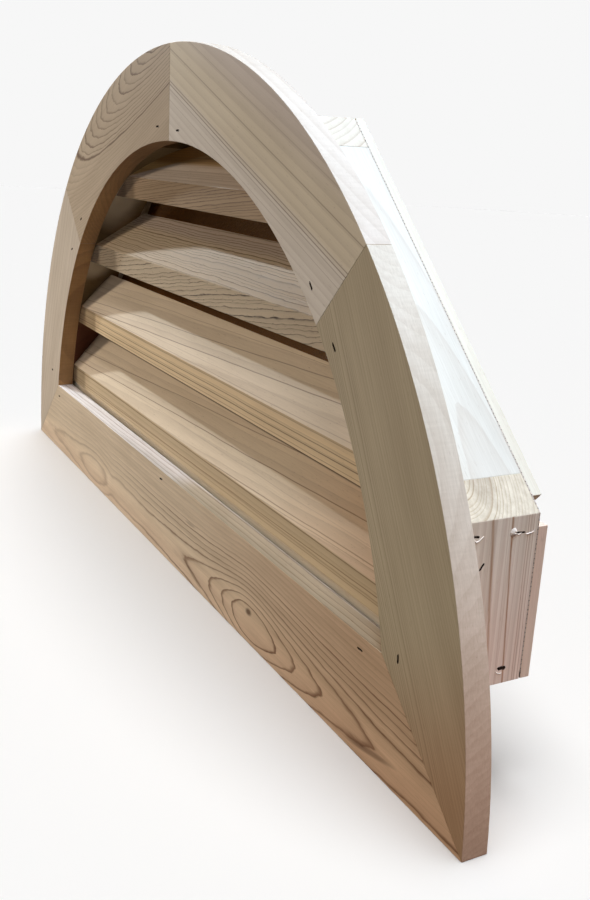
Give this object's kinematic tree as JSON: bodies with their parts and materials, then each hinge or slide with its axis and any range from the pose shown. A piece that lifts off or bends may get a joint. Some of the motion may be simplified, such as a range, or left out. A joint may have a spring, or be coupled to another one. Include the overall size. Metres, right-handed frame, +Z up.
{
  "type": "half-round gable vent",
  "caption": "Half-round wooden gable vent with an arched flat trim, a straight-sided frame box, sloping louvers and an insect screen behind.",
  "frame": {"origin": "on the flat back face of the trim, on the centre line, halfway up the bottom flange below the frame box", "axes": "+X to the right when facing the front, +Y into the wall (the front faces -Y), +Z up"},
  "size_m": [0.9994, 0.0862, 0.484],
  "materials": {
    "trim_bottom": "bare, planed",
    "trim_left_lower": "bare, planed",
    "trim_left_upper": "bare, planed",
    "trim_right_upper": "bare, planed",
    "trim_right_lower": "bare, planed",
    "frame_pine": "bare, sawn",
    "stop_pine": "bare, bandsawn",
    "louver_1": "bare, planed",
    "louver_2": "bare, planed",
    "louver_3": "bare, planed",
    "louver_4": "bare, planed",
    "screen_wire": "galvanised",
    "batten_pine": "bare, sawn"
  },
  "bodies": {
    "root": {"trim_bottom": "trim_bottom", "trim_left_lower": "trim_left_lower", "trim_left_upper": "trim_left_upper", "trim_right_upper": "trim_right_upper", "trim_right_lower": "trim_right_lower", "frame_sill": "frame_pine", "frame_post_left": "frame_pine", "frame_post_right": "frame_pine", "frame_slope_left": "frame_pine", "frame_slope_right": "frame_pine", "frame_top": "frame_pine", "stop_left_lower": "stop_pine", "stop_left_upper": "stop_pine", "stop_right_upper": "stop_pine", "stop_right_lower": "stop_pine", "louver_1": "louver_1", "louver_2": "louver_2", "louver_3": "louver_3", "louver_4": "louver_4", "screen": "screen_wire", "batten_bottom": "batten_pine", "batten_left": "batten_pine", "batten_right": "batten_pine", "batten_slope_left": "batten_pine", "batten_slope_right": "batten_pine", "batten_top": "batten_pine"}
  },
  "joints": []
}
